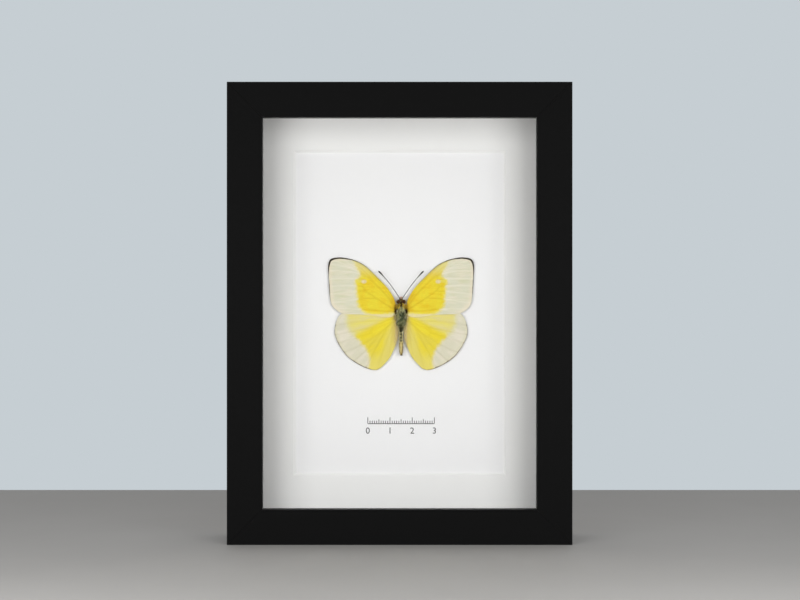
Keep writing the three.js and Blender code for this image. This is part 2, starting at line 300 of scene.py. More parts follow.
# Each vein's course, with its strength at the root and at the margin.
FOREWING_VEINS = [
    ([(2.6, 2.8), (6.2, 9.6), (10.2, 14.2), (14.6, 18.6), (18.5, 22.1)], 0.5, 0.3),
    ([(2.4, 2.0), (6.4, 7.6), (10.6, 12.0), (14.2, 15.4), (16.5, 16.9)], 1.0, 0.6),
    ([(12.0, 13.4), (16.5, 18.6), (21.0, 22.0), (23.5, 24.0)], 0.5, 0.3),
    ([(14.8, 15.8), (20.0, 20.0), (24.5, 23.0), (27.5, 24.5)], 0.5, 0.3),
    ([(16.5, 16.9), (21.5, 19.9), (26.8, 22.4), (30.8, 23.9)], 0.6, 0.4),
    ([(21.5, 19.9), (27.0, 21.2), (32.0, 21.9)], 0.5, 0.4),
    ([(16.5, 16.9), (22.0, 18.4), (27.5, 19.0), (32.4, 19.1)], 0.7, 0.5),
    ([(16.4, 15.0), (22.0, 15.4), (32.4, 15.3)], 0.8, 0.7),
    ([(17.2, 11.9), (22.0, 12.3), (28.0, 12.2), (32.0, 12.1)], 0.7, 0.5),
    ([(2.4, 1.3), (4.9, 2.6), (11.1, 6.6), (15.6, 9.8), (17.2, 11.9)], 1.0, 0.6),
    ([(16.5, 16.9), (16.3, 15.0), (16.5, 13.2), (17.2, 11.9)], 0.5, 0.5),
    ([(15.6, 9.8), (20.0, 9.7), (26.0, 9.1), (31.6, 8.3)], 0.7, 0.5),
    ([(11.1, 6.6), (17.0, 6.4), (24.0, 5.5), (31.0, 4.6)], 0.7, 0.5),
    ([(2.4, 0.6), (9.0, 0.9), (17.0, 1.6), (24.0, 1.8), (29.4, 1.9)], 0.8, 0.4),
]
HINDWING_VEINS = [
    ([(2.6, -1.8), (9.0, -0.6), (18.0, -0.4), (27.4, -1.7)], 0.6, 0.3),
    ([(7.0, -3.6), (14.0, -3.7), (22.0, -4.3), (29.6, -5.6)], 0.6, 0.5),
    ([(2.4, -2.2), (7.0, -3.6), (12.6, -6.4)], 0.9, 0.6),
    ([(12.6, -6.4), (20.0, -8.0), (29.8, -9.8)], 0.6, 0.5),
    ([(12.6, -6.4), (13.4, -8.8), (12.3, -10.9)], 0.4, 0.4),
    ([(13.4, -8.8), (20.0, -11.2), (28.4, -13.5)], 0.6, 0.5),
    ([(2.5, -3.0), (6.2, -6.3), (9.3, -9.2), (12.3, -10.9)], 1.0, 0.7),
    ([(12.3, -10.9), (18.0, -14.4), (25.9, -17.9)], 0.6, 0.6),
    ([(9.3, -9.2), (14.5, -15.5), (21.5, -22.0)], 0.6, 0.7),
    ([(6.2, -6.3), (10.6, -14.5), (15.9, -24.7)], 0.7, 0.7),
    ([(2.6, -3.6), (5.6, -10.5), (8.4, -18.0), (10.6, -25.2)], 0.7, 0.4),
    ([(2.5, -4.2), (3.9, -10.0), (5.4, -19.6)], 0.6, 0.3),
]

# Borders between the colours, each with the corners that close its region off the wing.
FOREWING_YELLOW = (
    [(21.8, 26.0), (21.4, 23.6), (20.7, 21.6), (19.5, 19.5), (18.4, 17.4), (18.9, 15.9), (20.2, 14.8),
     (20.5, 13.4), (20.0, 11.5), (20.1, 9.4), (19.5, 7.0), (19.7, 5.4), (19.0, 2.8), (17.2, 0.8),
     (15.1, -0.4), (12.4, -0.8), (9.1, -1.0), (4.9, -0.4), (1.0, 0.0)],
    [(-3.0, 0.0), (-3.0, 26.0)],
)
HINDWING_YELLOW = (
    [(24.8, 3.0), (24.9, -2.4), (24.9, -5.0), (24.1, -7.2), (22.8, -9.2), (21.2, -9.9), (20.0, -11.4),
     (18.6, -12.2), (17.4, -14.2), (16.3, -15.0), (15.4, -16.8), (14.8, -17.9), (14.1, -20.4),
     (14.1, -22.6), (14.8, -26.5)],
    [(-3.0, -26.5), (-3.0, 3.0)],
)
HINDWING_DULL = (
    [(1.0, -1.8), (4.9, -2.1), (9.5, -4.3), (14.6, -6.9), (21.0, -10.3), (27.0, -13.5)],
    [(34.0, -13.5), (34.0, 4.0), (1.0, 4.0)],
)
HINDWING_WEDGE = (
    [(2.6, -2.4), (5.0, -2.7), (10.0, -5.0), (14.6, -7.5), (18.6, -10.2), (17.6, -12.2), (13.6, -11.2),
     (9.3, -8.9), (5.2, -5.0), (2.6, -2.4)],
    [(2.6, -2.4)],
)
HINDWING_INNER = (
    [(1.0, -3.4), (3.8, -5.0), (5.6, -8.0), (6.9, -11.0), (7.6, -14.5), (8.8, -19.0), (10.4, -23.0),
     (11.0, -27.0)],
    [(-3.0, -27.0), (-3.0, -3.4)],
)

# Small spots of the fore wing: middle, radii, where the soft rim starts, and colour.
FOREWING_SPOTS = [
    ((19.0, 14.6), (1.6, 1.1), 0.3, "e8d95e"),
    ((16.7, 14.1), (1.25, 0.95), 0.0, "eadaae"),
]

# Steps of a smooth curve between its points.
OUTLINE_STEPS, VEIN_STEPS, BORDER_STEPS = 16, 12, 4
# Spacing of points on the outline, in the cells and on the veins.
RING_PITCH = 0.22
LATTICE_PITCH = 0.3
VEIN_PITCH = 0.3
# The least gaps, as shares of the vein's half width and of the outline's pitch.
FLANK_SHARE, RING_SHARE = 0.9, 0.4
# The triangulation keeps what is inside the outline, and joins points this near.
KEEP_INSIDE, SAME_POINT = 1, 1e-3

# Relief, in millimetres.
VEIN_HALF_WIDTH = 0.13
BAND_HALF_WIDTH = 0.34
VEIN_RISE = 0.07
CELL_SAG, CELL_REACH, FLAT_RIM = 0.1, 1.1, 1.5
WAVE_HEIGHT = 0.08
FOREWING_DROOP, ROOT_DIP = 1.3, 0.25
HINDWING_DROOP, FOLD_DIP = 0.7, 0.3
WING_THICKNESS = 0.06
# How far apart the noise of the left and right wings lies.
NOISE_SHIFT = 40.0


def vein_rows(veins):
    """Each vein as an even curve with its strength as the third column."""
    rows = []
    for course, at_root, at_margin in veins:
        curve = even(catmull(course, VEIN_STEPS), VEIN_PITCH)
        strength = np.linspace(at_root, at_margin, len(curve))
        rows.append(np.column_stack([curve, strength]))
    return rows


def beside(curve, gap):
    """The curve's points moved sideways."""
    along = np.gradient(curve[:, :2], axis=0)
    along /= np.linalg.norm(along, axis=1)[:, None]
    return curve[:, :2] + gap * np.column_stack([-along[:, 1], along[:, 0]])


def lattice(ring, pitch):
    low, high = ring.min(0), ring.max(0)
    xs = np.arange(low[0], high[0], pitch)
    ys = np.arange(low[1], high[1], pitch * math.sqrt(3) / 2)
    grid = np.array([(x + (row % 2) * pitch / 2, y) for row, y in enumerate(ys) for x in xs])
    return grid[inside(grid, ring)]


def to_veins(points, rows):
    """Distance to the closest vein, and the strength of that vein there."""
    gap = np.full(len(points), np.inf)
    strength = np.zeros(len(points))
    for curve in rows:
        near, row = nearest(points, curve)
        closer = near < gap
        gap[closer] = near[closer]
        strength[closer] = np.interp(row[closer], np.arange(len(curve)), curve[:, 2])
    return gap, strength


def wing_plan(outline, root, veins):
    """The flat wing: its points, triangles, outline, and each point's distance and strength of vein."""
    edge = even(catmull(outline, OUTLINE_STEPS), RING_PITCH)
    ring = np.vstack([edge[:, :2], root])
    rows = vein_rows(veins)
    spine = np.vstack([curve[:, :2] for curve in rows])
    flanks = np.vstack([beside(curve, side * VEIN_HALF_WIDTH) for curve in rows for side in (-1, 1)])
    flanks = flanks[to_veins(flanks, rows)[0] > VEIN_HALF_WIDTH * FLANK_SHARE]
    fill = lattice(ring, LATTICE_PITCH)
    fill = fill[to_veins(fill, rows)[0] > VEIN_HALF_WIDTH + LATTICE_PITCH / 2]
    free = np.vstack([spine, flanks, fill])
    closed = np.vstack([ring, ring[:1]])
    free = free[inside(free, ring) & (nearest(free, closed)[0] > RING_PITCH * RING_SHARE)]
    flat = [Vector(p) for p in np.vstack([ring, free])]
    rim = list(range(len(ring)))
    points, _, faces, _, _, _ = delaunay_2d_cdt(flat, [], [rim], KEEP_INSIDE, SAME_POINT)
    points = np.array(points)
    gap, strength = to_veins(points, rows)
    return {"points": points, "faces": faces, "edge": edge, "gap": gap, "strength": strength}


def wing_attributes(plan, fields):
    points = plan["points"]
    inwards, row = nearest(points, plan["edge"])
    width = np.interp(row, np.arange(len(plan["edge"])), plan["edge"][:, 2])
    values = {"edge": inwards, "border": width - inwards}
    values["vein"] = plan["strength"] * np.exp(-(plan["gap"] / VEIN_HALF_WIDTH) ** 2)
    values["band"] = plan["strength"] * np.exp(-(plan["gap"] / BAND_HALF_WIDTH) ** 2)
    for name, (border, corners) in fields.items():
        line = catmull(border, BORDER_STEPS)
        values[name] = field(points, line, corners)
    return values


def forewing_lift(points):
    """How far each point stands in front of the wing's plane: the front edge and tip lie back."""
    out, up = points.T
    wave = WAVE_HEIGHT * np.sin(0.42 * out + 1.1) * np.sin(0.36 * up + 0.4)
    droop = FOREWING_DROOP * np.clip((up + 0.35 * out - 3) / 22, 0, 1)
    return wave - droop - ROOT_DIP * np.exp(-(out / 4) ** 2)


def hindwing_lift(points):
    """The outer edge droops, and the edge beside the abdomen folds down round it."""
    out, up = points.T
    wave = WAVE_HEIGHT * np.sin(0.5 * out + 0.3) * np.sin(0.44 * up + 1.7)
    droop = HINDWING_DROOP * np.clip((np.hypot(out, up) - 14) / 16, 0, 1) ** 2
    fold = FOLD_DIP * np.exp(-((out - 1.4) / 1.2) ** 2) * np.clip((-3 - up) / 4, 0, 1)
    return wave - droop - fold


def make_wing(name, side, plan, values, lift, plane, paint, slot):
    points, gap = plan["points"], plan["gap"]
    sag = CELL_SAG * (1 - np.exp(-(gap / CELL_REACH) ** 2)) * np.clip(values["edge"] / FLAT_RIM, 0, 1)
    rise = lift(points) + VEIN_RISE * values["vein"] - sag
    depth = plane + WING_THICKNESS * MM - rise * MM
    x = AXIS_X + side * points[:, 0] * MM
    where = np.column_stack([x, depth, MIDDLE_Z + points[:, 1] * MM])
    seed = np.full(len(points), 0.0 if side > 0 else NOISE_SHIFT)
    values = dict(values, wing=np.column_stack([points, seed]))
    faces = [face if side > 0 else face[::-1] for face in plan["faces"]]
    piece = mesh_piece(name, where, faces, [paint], values)
    thick = piece.modifiers.new("thickness", "SOLIDIFY")
    thick.thickness = WING_THICKNESS * MM
    thick.offset = -1
    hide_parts(name)


def wing_parts(paint):
    """The coordinates and noises that both kinds of wing share."""
    wing = paint.attribute("wing", "Vector")
    out, up, _ = paint.apart(wing)
    wobble = paint.minus(paint.noise(wing, 0.9, 4), 0.5)
    return wing, out, up, wobble


def scale_bump(paint, wing):
    """The powdery scales: a fine grain in rows, over slow unevenness."""
    grain = paint.noise(wing, 6.5, 2, stretch=(1, 1.6, 1))
    slow = paint.noise(wing, 0.8, 3)
    height = paint.plus(paint.times(grain, 0.25), slow)
    paint.bump(height, 0.00012, 0.7)


def border_share(paint, wing, vein_ends=0.0):
    """The dark rim, ragged where it is thin and absent where its width is 0."""
    ragged = paint.times(paint.minus(paint.noise(wing, 1.1, 3), 0.5), 0.5)
    reach = paint.plus(paint.attribute("border"), ragged)
    reach = paint.plus(reach, paint.times(paint.attribute("band"), vein_ends))
    return paint.step(reach, 0.04, 0.2)


def spot_reach(paint, out, up, centre, radii):
    """1 at an ellipse's rim, less inside it."""
    parts = [paint.math("POWER", paint.math("DIVIDE", paint.minus(value, middle), radius), 2.0)
             for value, middle, radius in zip((out, up), centre, radii)]
    return paint.plus(*parts)


def forewing_paint():
    paint = Paint("forewing_scales")
    wing, out, up, wobble = wing_parts(paint)
    edge, band = paint.attribute("edge"), paint.attribute("band")
    streak = paint.step(paint.noise(wing, 0.6, 4, stretch=(0.2, 1.7, 1)), 0.36, 0.64)
    patch = paint.step(paint.noise(wing, 0.2, 3), 0.35, 0.65)
    reach = paint.plus(paint.attribute("yellow"), paint.times(wobble, 2.2))

    yellow = paint.mix(streak, "efd63c", "e6c52b")
    yellow = paint.mix(patch, yellow, "ebd93e")
    root = paint.step(paint.plus(out, paint.times(wobble, 3.0)), 7.0, 2.0)
    yellow = paint.mix(paint.times(root, 0.7), yellow, "d2a624")
    yellow = paint.mix(paint.step(reach, 1.6, 0.2), yellow, "ecda52")
    tip = paint.step(paint.plus(up, paint.times(wobble, 4.0)), 14.5, 22.5)
    yellow = paint.mix(paint.times(tip, 0.8), yellow, "e2da9c")

    pale = paint.mix(streak, "d6d5b4", "e6dfca")
    pale = paint.mix(patch, pale, "dbdac2")
    cream = paint.times(paint.step(edge, 2.2, 0.9), paint.step(out, 22.0, 27.0))
    pale = paint.mix(paint.times(cream, 0.6), pale, "eadfc6")

    colour = paint.mix(paint.step(reach, -1.3, 0.9), pale, yellow)
    hind = paint.times(paint.step(up, -0.3, -0.9), paint.step(out, 16.0, 12.0))
    colour = paint.mix(hind, colour, "e9dca2")
    for centre, radii, low, tone in FOREWING_SPOTS:
        colour = paint.mix(paint.step(spot_reach(paint, out, up, centre, radii), 1.6, low), colour, tone)

    in_yellow = paint.step(reach, -0.2, 0.6)
    ridge = paint.times(band, paint.times(in_yellow, 0.42))
    colour = paint.mix(ridge, colour, "c9a21c")
    line = paint.times(band, paint.minus(1.0, in_yellow))
    colour = paint.mix(paint.times(line, 0.75), colour, "f0ebda")

    dusk = paint.times(paint.step(edge, 1.1, 0.1), paint.step(out, 26.0, 20.0))
    dusk = paint.times(dusk, paint.step(up, 9.0, 17.0))
    colour = paint.mix(paint.times(dusk, 0.5), colour, "a89a5c")
    dark = paint.mix(paint.noise(wing, 1.2, 3), "1e1b15", "4a4030")
    colour = paint.mix(border_share(paint, wing), colour, dark)
    paint.set(Base_Color=colour)
    scale_bump(paint, wing)
    return paint


def hindwing_paint():
    paint = Paint("hindwing_scales")
    wing, out, up, wobble = wing_parts(paint)
    edge, band = paint.attribute("edge"), paint.attribute("band")
    angle = paint.math("ARCTAN2", paint.plus(out, 1.0), paint.minus(-1.0, up))
    length = paint.math("SQRT", paint.plus(paint.math("POWER", out, 2.0), paint.math("POWER", up, 2.0)))
    rays = paint.together(paint.times(angle, 14.0), paint.times(length, 0.12))
    streak = paint.step(paint.noise(rays, 0.8, 3), 0.35, 0.65)

    yellow = paint.mix(streak, "ecd940", "e4d250")
    yellow = paint.mix(paint.step(up, -16.0, -24.0), yellow, "e9db70")
    dull = paint.mix(streak, "e8dd76", "e2d690")
    pale = paint.mix(streak, "dcd8c0", "e8e1ce")
    cream = paint.times(paint.step(edge, 1.8, 0.9), paint.step(out, 10.0, 15.0))
    pale = paint.mix(paint.times(cream, 0.7), pale, "dcd8bc")

    def region(name, low, high):
        reach = paint.plus(paint.attribute(name), paint.times(wobble, 2.0))
        return paint.step(reach, low, high)

    colour = paint.mix(region("inner", -1.8, 2.0), yellow, "e3d570")
    faded = paint.mix(region("yellow", 2.4, 0.0), dull, "dfdaa8")
    colour = paint.mix(region("dull", -1.2, 1.8), colour, faded)
    colour = paint.mix(region("wedge", -1.6, 1.6), colour, paint.mix(streak, "efde40", "ecd638"))
    # Painted shade, partly the wing's own browner tone: beside the abdomen the hind wing is painted darker
    # and browner about 3 mm out, and painted lighter at its rim, where it lies in the abdomen's shade.
    fold = paint.times(paint.step(out, 5.5, 2.6), paint.step(up, -16.0, -11.0))
    fold_tone_and_shade = paint.mix(paint.step(out, 3.0, 1.4), "cfba6a", "ead6a4")
    colour = paint.mix(paint.times(fold, 0.75), colour, fold_tone_and_shade)
    colour = paint.mix(region("yellow", -1.4, 1.0), pale, colour)
    in_yellow = region("yellow", -0.6, 0.6)
    colour = paint.mix(paint.times(paint.times(band, in_yellow), 0.35), colour, "cdb62e")
    line = paint.times(band, paint.minus(1.0, in_yellow))
    colour = paint.mix(paint.times(line, 0.6), colour, "c9c3a4")

    dark = paint.mix(paint.step(paint.noise(wing, 0.7, 3), 0.4, 0.6), "5a4836", "a08a62")
    colour = paint.mix(border_share(paint, wing, 0.38), colour, dark)
    paint.set(Base_Color=colour)
    scale_bump(paint, wing)
    return paint


def make_wings():
    fore = wing_plan(FOREWING, FOREWING_ROOT, FOREWING_VEINS)
    hind = wing_plan(HINDWING, HINDWING_ROOT, HINDWING_VEINS)
    fore_values = wing_attributes(fore, {"yellow": FOREWING_YELLOW})
    hind_values = wing_attributes(hind, {
        "yellow": HINDWING_YELLOW, "dull": HINDWING_DULL, "wedge": HINDWING_WEDGE, "inner": HINDWING_INNER})
    kinds = {
        "forewing": (fore, fore_values, forewing_lift, FOREWING_Y, forewing_paint()),
        "hindwing": (hind, hind_values, hindwing_lift, HINDWING_Y, hindwing_paint()),
    }
    for hand, side in SIDES.items():
        for kind, settings in kinds.items():
            make_wing(f"{kind}_{hand}", side, *settings, kind)


# ---- body

# Up, half width and half depth of the bare body, from the tail to the brow.
BODY_ROWS = [
    (-19.0, 0.12, 0.12), (-18.6, 0.42, 0.4), (-17.4, 0.72, 0.7), (-15.6, 0.92, 0.92), (-13.6, 0.92, 0.95),
    (-11.6, 0.84, 0.9), (-9.6, 0.86, 0.92), (-7.8, 1.0, 1.1), (-6.4, 1.2, 1.35), (-5.0, 1.6, 1.7),
    (-3.0, 1.9, 2.0), (-0.8, 1.95, 2.1), (1.2, 1.85, 2.05), (2.6, 1.5, 1.8), (3.7, 1.05, 1.3),
    (4.5, 0.9, 1.1), (5.3, 1.05, 1.2), (6.1, 0.95, 1.1), (6.8, 0.62, 0.8), (7.2, 0.2, 0.3),
]
BODY_STEPS = 12
BODY_CURVE = catmull(BODY_ROWS, BODY_STEPS)
BODY_STEP = 0.16
BODY_SIDES = 40
# Below the waist are segments: their length, swell, and the depth and width of a seam.
WAIST = -6.2
SEGMENT = 1.42
SWELL, SEAM_DEPTH, SEAM_WIDTH = 1.03, 0.1, 0.12
# Where an eye is (out, up and towards the viewer), its radii, and its rings and sides.
EYE = (1.27, 5.05, 0.4)
EYE_RADII = (0.86, 0.95, 0.92)
EYE_RINGS, EYE_SIDES = 14, 20
EYE_POLE = 0.08


def unit(vectors):
    return vectors / np.linalg.norm(vectors, axis=1)[:, None]


def settle(points):
    """Insect millimetres (out, up, towards the viewer from the body's axis) to metres."""
    out, up, front = points.T
    return np.column_stack([AXIS_X + out * MM, BODY_Y - front * MM, MIDDLE_Z + up * MM])


def body_surface(up, angle):
    """Points on the bare body and their normals; an angle of 0 faces the viewer."""
    width = np.interp(up, BODY_CURVE[:, 0], BODY_CURVE[:, 1])
    depth = np.interp(up, BODY_CURVE[:, 0], BODY_CURVE[:, 2])
    seam = np.exp(-(((up - WAIST) / SEGMENT % 1 - 0.5) / SEAM_WIDTH) ** 2)
    swell = np.where(up < WAIST, SWELL - SEAM_DEPTH * seam, 1.0)
    points = np.column_stack([width * swell * np.sin(angle), up, depth * swell * np.cos(angle)])
    normals = np.column_stack([np.sin(angle) / width, np.zeros(len(up)), np.cos(angle) / depth])
    return points, unit(normals)


def ring_faces(rows, sides, start=0):
    faces = []
    for row in range(rows - 1):
        for side in range(sides):
            a, b = start + row * sides + side, start + row * sides + (side + 1) % sides
            faces.append((a, b, b + sides, a + sides))
    return faces


def capped(rows, sides, start=0):
    """A tube's faces, with its two end rings closed."""
    first = tuple(start + side for side in reversed(range(sides)))
    last = tuple(start + (rows - 1) * sides + side for side in range(sides))
    return ring_faces(rows, sides, start) + [first, last]


def eye_points(side):
    polar = np.repeat(np.linspace(EYE_POLE, math.pi - EYE_POLE, EYE_RINGS), EYE_SIDES)
    turn = np.tile(np.arange(EYE_SIDES) * math.tau / EYE_SIDES, EYE_RINGS)
    ball = np.column_stack([np.sin(polar) * np.sin(turn), -np.cos(polar), np.sin(polar) * np.cos(turn)])
    return ball * EYE_RADII + np.array(EYE) * (side, 1, 1)


def body_paint():
    paint = Paint("body_skin", specular=0.25)
    body = paint.attribute("body", "Vector")
    out, up, _ = paint.apart(body)
    mottle = paint.noise(body, 1.4, 4)
    colour = paint.mix(paint.step(mottle, 0.35, 0.65), "8a8658", "c8c08c")
    tail = paint.step(paint.plus(up, mottle), -11.2, -13.2)
    tail_colour = paint.mix(paint.step(mottle, 0.38, 0.6), "c4ae66", "eadb9c")
    colour = paint.mix(tail, colour, tail_colour)
    beat = paint.math("SINE", paint.times(up, math.tau / SEGMENT))
    off_middle = paint.math("ABSOLUTE", out)
    flank = paint.times(tail, paint.step(off_middle, 0.3, 0.55))
    ridge = paint.minus(paint.step(off_middle, 0.55, 0.3), tail)
    spots = paint.times(paint.math("MAXIMUM", flank, ridge), paint.step(beat, 0.0, 0.5))
    colour = paint.mix(paint.times(spots, 0.9), colour, "241e12")
    colour = paint.mix(paint.step(up, -18.0, -18.7), colour, "3a3426")
    paint.set(Base_Color=colour)
    paint.bump(paint.noise(body, 5.0, 3), 0.00008)
    return paint


def eye_paint():
    paint = Paint("compound_eye", roughness=0.22, specular=0.6)
    body = paint.attribute("body", "Vector")
    cells = paint.node("TexVoronoi")
    paint.fill(cells, {"Vector": body, "Scale": 14.0})
    paint.set(Base_Color=paint.mix(paint.noise(body, 1.0, 2), "2c1a10", "5a3820"))
    paint.bump(cells.outputs["Distance"], 0.00002, 0.6)
    return paint


def make_body():
    ups = np.arange(BODY_CURVE[0, 0], BODY_CURVE[-1, 0], BODY_STEP)
    angles = np.arange(BODY_SIDES) * math.tau / BODY_SIDES
    points, _ = body_surface(np.repeat(ups, BODY_SIDES), np.tile(angles, len(ups)))
    faces = capped(len(ups), BODY_SIDES)
    bare = len(faces)
    for side in SIDES.values():
        faces += capped(EYE_RINGS, EYE_SIDES, len(points))
        points = np.vstack([points, eye_points(side)])
    paints = [body_paint(), eye_paint()]
    piece = mesh_piece("butterfly_body", settle(points), faces, paints, {"body": points})
    for face in piece.data.polygons[bare:]:
        face.material_index = 1
    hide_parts("butterfly_body")


# ---- antennae

# Out, up and towards the viewer; then the radius along the thread.
ANTENNA = [(0.5, 6.5, 0.8), (0.95, 7.1, 0.9), (4.85, 12.75, 0.7), (8.6, 17.25, 0.7), (10.2, 18.8, 0.8)]
ANTENNA_RADII = [(0, 0.2), (0.4, 0.16), (12.2, 0.15), (13.4, 0.2), (15.2, 0.34), (16.1, 0.34), (16.6, 0.1)]
ANTENNA_STEPS = 24
ANTENNA_PITCH = 0.09
ANTENNA_SIDES = 10
# A ring's length, and how far it narrows at its ends as a share of the radius.
ANTENNA_RING = 0.36
RING_NARROWS = 0.06


def antenna_paint():
    paint = Paint("antenna_rings", roughness=0.5, specular=0.35)
    along, _, _ = paint.apart(paint.attribute("thread", "Vector"))
    beat = paint.math("SINE", paint.times(along, math.tau / ANTENNA_RING))
    shaft = paint.mix(paint.step(beat, 0.2, 0.9), "2e2925", "524b45")
    paint.set(Base_Color=paint.mix(paint.step(along, 11.8, 13.4), shaft, "201c18"))
    return paint


def make_antenna(name, side, paint):
    curve = catmull(ANTENNA, ANTENNA_STEPS)
    steps = np.concatenate([[0], np.cumsum(np.linalg.norm(np.diff(curve, axis=0), axis=1))])
    along = np.linspace(0, steps[-1], int(steps[-1] / ANTENNA_PITCH))
    spine = np.column_stack([np.interp(along, steps, column) for column in curve.T]) * (side, 1, 1)
    ways = unit(np.gradient(spine, axis=0))
    across = unit(np.cross(ways, (0, 0, 1)))
    over = np.cross(ways, across)
    radius = np.interp(along / along[-1] * ANTENNA_RADII[-1][0], *np.transpose(ANTENNA_RADII))
    radius = radius * (1 - RING_NARROWS * np.cos(along * math.tau / ANTENNA_RING))
    turns = np.arange(ANTENNA_SIDES) * math.tau / ANTENNA_SIDES
    rings = [spine + (radius * math.cos(t))[:, None] * across + (radius * math.sin(t))[:, None] * over
             for t in turns]
    points = np.stack(rings, axis=1).reshape(-1, 3)
    thread = np.column_stack([np.repeat(along, ANTENNA_SIDES), np.tile(turns, len(along)), points[:, 2]])
    faces = capped(len(along), ANTENNA_SIDES)
    piece = mesh_piece(name, settle(points), faces, [paint], {"thread": thread})
    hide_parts(name)


def make_antennae():
    paint = antenna_paint()
    for hand, side in SIDES.items():
        make_antenna(f"antenna_{hand}", side, paint)


# ---- down

rng = np.random.default_rng(20)
# A hair has two rings of three points, each with its place along the hair and its size, and a tip.
HAIR_RINGS = ((0.0, 1.0), (0.55, 0.7))
HAIR_POINTS = 7
HAIR_FACES = [(0, 1, 4, 3), (1, 2, 5, 4), (2, 0, 3, 5), (3, 4, 6), (4, 5, 6), (5, 3, 6)]
# A direction that no hair points in.
ASIDE = (0.3, 0.5, 0.81)
TINT_RANGE = (0.8, 1.2)
# A clump's hairs, the share in its colour, its lean, and a radian's weight against a millimetre.
CLUMP_HAIRS = 26
CLUMP_SHARE = 0.85
CLUMP_LEAN = 0.22
RADIAN_GAP = 2
PATCH_JITTER = 0.2
PATCH_DROOP = (0, -0.1, 0)
# The heights of the small dark spots at the abdomen's sides.
TAIL_BEADS = (-14.4, -15.9, -17.3)


def tints(count, codes, clump=None):
    """A random pick of the colours for each hair, mostly the one its clump shares."""
    table = np.array([srgb(code)[:3] for code in codes])
    picked = rng.integers(0, len(codes), count)
    if clump is not None:
        shared = rng.integers(0, len(codes), clump.max() + 1)[clump]
        picked = np.where(rng.random(count) < CLUMP_SHARE, shared, picked)
    return table[picked] * rng.uniform(*TINT_RANGE, (count, 1))


def clumps(up, angle):
    """The clump that each hair belongs to, by the nearest of some random middles."""
    count = max(2, len(up) // CLUMP_HAIRS)
    middles = rng.uniform((up.min(), angle.min()), (up.max(), angle.max()), (count, 2))
    gaps = (up[:, None] - middles[:, 0]) ** 2 + (RADIAN_GAP * (angle[:, None] - middles[:, 1])) ** 2
    return gaps.argmin(1)


def strands(roots, ways, lengths, width, colours, droop=(0, -0.15, 0)):
    """Tapered three-sided hairs, bending towards droop, as points and a tint for each point."""
    ways = unit(ways)
    across = unit(np.cross(ways, ASIDE))
    over = np.cross(ways, across)
    reach = lengths[:, None]
    corners = []
    for share, size in HAIR_RINGS:
        centre = roots + reach * (share * ways + share ** 2 * np.array(droop))
        for corner in range(3):
            turn = corner * math.tau / 3
            corners.append(centre + size * width * (math.cos(turn) * across + math.sin(turn) * over))
    corners.append(roots + reach * (ways + np.array(droop)))
    return np.stack(corners, axis=1).reshape(-1, 3), np.repeat(colours, HAIR_POINTS, axis=0)


def down_paint():
    paint = Paint("down", roughness=0.75)
    tint = paint.attribute("tint", "Vector")
    shade = paint.noise(paint.place(), 1.1, 3)
    share = paint.step(shade, 0.25, 0.75)
    shaded = paint.scaled(tint, (0.8, 0.8, 0.78))
    paint.set(Base_Color=paint.mix(share, tint, shaded))
    return paint


def down_piece(name, tufts, paint):
    points = np.vstack([tuft[0] for tuft in tufts])
    colours = np.vstack([tuft[1] for tuft in tufts])
    faces = [tuple(start + corner for corner in face)
             for start in range(0, len(points), HAIR_POINTS) for face in HAIR_FACES]
    piece = mesh_piece(name, settle(points), faces, [paint], {"tint": colours})


def body_tuft(count, ups, angles, lift, lengths, width, codes, way=(0, -1, 0), jitter=0.22):
    """Hairs on the body, between two heights and two angles off the front, on both sides."""
    up = rng.uniform(*ups, count)
    angle = rng.uniform(*angles, count) * rng.choice((-1, 1), count)
    clump = clumps(up, angle)
    lean = CLUMP_LEAN * rng.normal(size=(clump.max() + 1, 3))[clump]
    roots, normals = body_surface(up, angle)
    ways = lift * normals + np.array(way) + lean + jitter * rng.normal(size=(count, 3))
    return strands(roots, ways, rng.uniform(*lengths, count), width, tints(count, codes, clump))


def patch_tuft(side, count, centre, spread, way, lengths, width, codes):
    """Hairs from a soft-edged patch beside the axis, on one side."""
    roots = np.array(centre) + np.array(spread) * rng.normal(size=(count, 3)).clip(-2, 2)
    ways = np.array(way) + PATCH_JITTER * rng.normal(size=(count, 3))
    flip = (side, 1, 1)
    reach = rng.uniform(*lengths, count)
    return strands(roots * flip, ways * flip, reach, width, tints(count, codes), PATCH_DROOP)


def thorax_down():
    green = ["a2aa74", "c8c88e", "667052", "dedca8", "485036"]
    teal = ["465a4a", "5a7056", "28362c", "7a8c6a"]
    grey = ["e6e3c0", "f8f5de", "c2bc8c", "ac9c66"]
    olive = ["e8c440", "c2a432", "f4da5a", "8c7830"]
    moss = ["4a4a30", "2e2e20", "6a6844", "8c8858"]
    return [
        body_tuft(2100, (-5.0, 3.0), (0.0, 1.6), 0.4, (0.8, 1.4), 0.035, green),
        body_tuft(480, (-3.4, 0.4), (0.0, 0.42), 0.5, (0.7, 1.1), 0.035, teal),
        body_tuft(1100, (-4.6, 1.6), (0.75, 1.5), 0.35, (0.7, 1.2), 0.035, grey),
        body_tuft(420, (-5.4, -3.4), (0.0, 1.3), 0.4, (0.5, 0.9), 0.035, moss),
        body_tuft(380, (-7.8, -4.8), (0.0, 0.8), 0.15, (0.6, 1.1), 0.032, moss),
        body_tuft(1200, (2.2, 4.5), (0.35, 1.8), 0.6, (0.6, 1.0), 0.035, olive),
        body_tuft(320, (3.0, 4.7), (0.0, 0.4), 0.4, (0.5, 0.9), 0.035, ["4c3618", "2e200e", "6a5026"]),
    ]


def head_down():
    brown = ["643c1c", "8a5826", "301e12", "9c7434"]
    pink = ["fad4c2", "ffeadd", "e8bca8"]
    return [
        body_tuft(420, (4.5, 6.4), (0.0, 0.6), 0.8, (0.35, 0.6), 0.03, brown, (0, 0.3, 0)),
        body_tuft(260, (6.2, 6.9), (0.0, 0.5), 0.5, (0.6, 1.1), 0.03, pink, (0, 1.2, 0), 0.12),
    ]


